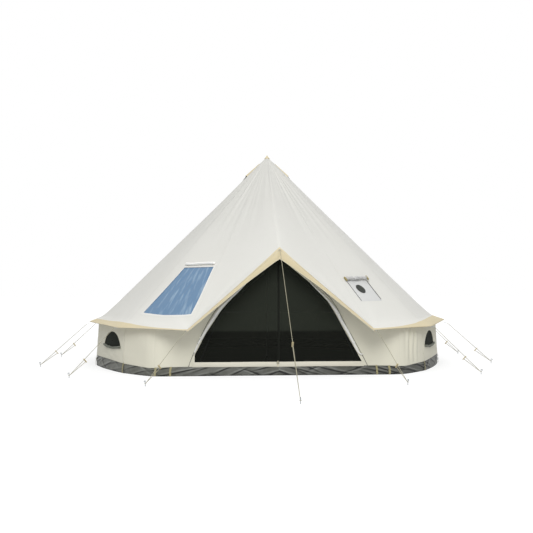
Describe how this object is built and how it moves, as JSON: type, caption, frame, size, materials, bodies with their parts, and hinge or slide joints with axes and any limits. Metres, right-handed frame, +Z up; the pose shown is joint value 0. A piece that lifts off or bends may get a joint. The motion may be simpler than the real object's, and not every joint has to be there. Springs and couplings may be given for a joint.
{
  "type": "canvas bell tent",
  "caption": "Round bell tent with a gored canvas roof on a centre pole, low walls, a dormer over a zipped mesh door, a sewn-in groundsheet and guy ropes to pegs.",
  "frame": {"origin": "on the underside of the groundsheet, under the centre pole, at ground level", "axes": "+Z up along the centre pole; -Y towards the door; +X to the right seen from in front of the door"},
  "size_m": [6.3758, 7.4896, 3.059],
  "materials": {
    "roof_canvas": "proofed cotton canvas, off-white",
    "wall_canvas": "proofed cotton canvas, beige",
    "tan_trim": "tan reinforcing canvas",
    "insect_mesh": "fine black insect netting",
    "groundsheet_pvc": "grey PVC-coated sheet, creased",
    "clear_film": "glossy flexible window film with a blue tint",
    "stove_cloth": "heat-resistant coated cloth",
    "heat_cloth": "dark fire-retardant cloth",
    "toggle_wood": "oiled wood",
    "zip_tape": "woven tape with a coil zip",
    "galvanised_steel": "galvanised steel",
    "black_plastic": "black moulded plastic",
    "guy_rope": "cream braided rope",
    "slider_wood": "plain beech"
  },
  "bodies": {
    "root": {"canopy_hem_left": "tan_trim", "canopy_hem_right": "tan_trim", "centre_pole": "galvanised_steel", "door_flap_rolls": "wall_canvas", "door_frame_elbows": "black_plastic", "door_frame_legs": "galvanised_steel", "door_frame_rafters": "galvanised_steel", "door_mesh_left": "insect_mesh", "door_mesh_right": "insect_mesh", "door_sill": "wall_canvas", "door_zip": "zip_tape", "dormer_roof_left": "roof_canvas", "dormer_roof_right": "roof_canvas", "eave_valance_a": "tan_trim", "eave_valance_b": "tan_trim", "front_shoulder_walls": "wall_canvas", "front_vent_walls": "wall_canvas", "front_wall_left": "wall_canvas", "front_wall_right": "wall_canvas", "groundsheet_floor": "groundsheet_pvc", "groundsheet_tub_a": "groundsheet_pvc", "groundsheet_tub_b": "groundsheet_pvc", "groundsheet_tub_front": "groundsheet_pvc", "guy_pegs": "galvanised_steel", "guy_rings": "galvanised_steel", "guy_ropes": "guy_rope", "guy_sliders": "slider_wood", "peak_cap": "tan_trim", "peak_vent_hoods": "tan_trim", "pole_fittings": "black_plastic", "rear_side_walls": "wall_canvas", "rear_vent_walls": "wall_canvas", "rear_wall_left": "wall_canvas", "rear_wall_right": "wall_canvas", "roof_panel_01": "roof_canvas", "roof_panel_02": "roof_canvas", "roof_panel_03": "roof_canvas", "roof_panel_04": "roof_canvas", "roof_panel_05": "roof_canvas", "roof_panel_06": "roof_canvas", "roof_panel_07": "roof_canvas", "roof_panel_08": "roof_canvas", "roof_panel_09": "roof_canvas", "roof_panel_10": "roof_canvas", "roof_panel_11": "roof_canvas", "roof_panel_12": "roof_canvas", "side_walls": "wall_canvas", "skylight_border": "wall_canvas", "skylight_cover_roll": "wall_canvas", "skylight_film": "clear_film", "stove_flap_roll": "stove_cloth", "stove_flap_toggles": "toggle_wood", "stove_jack_disc": "heat_cloth", "stove_jack_panel": "stove_cloth", "vent_flap_rolls": "wall_canvas", "vent_mesh": "insect_mesh"}
  },
  "joints": []
}
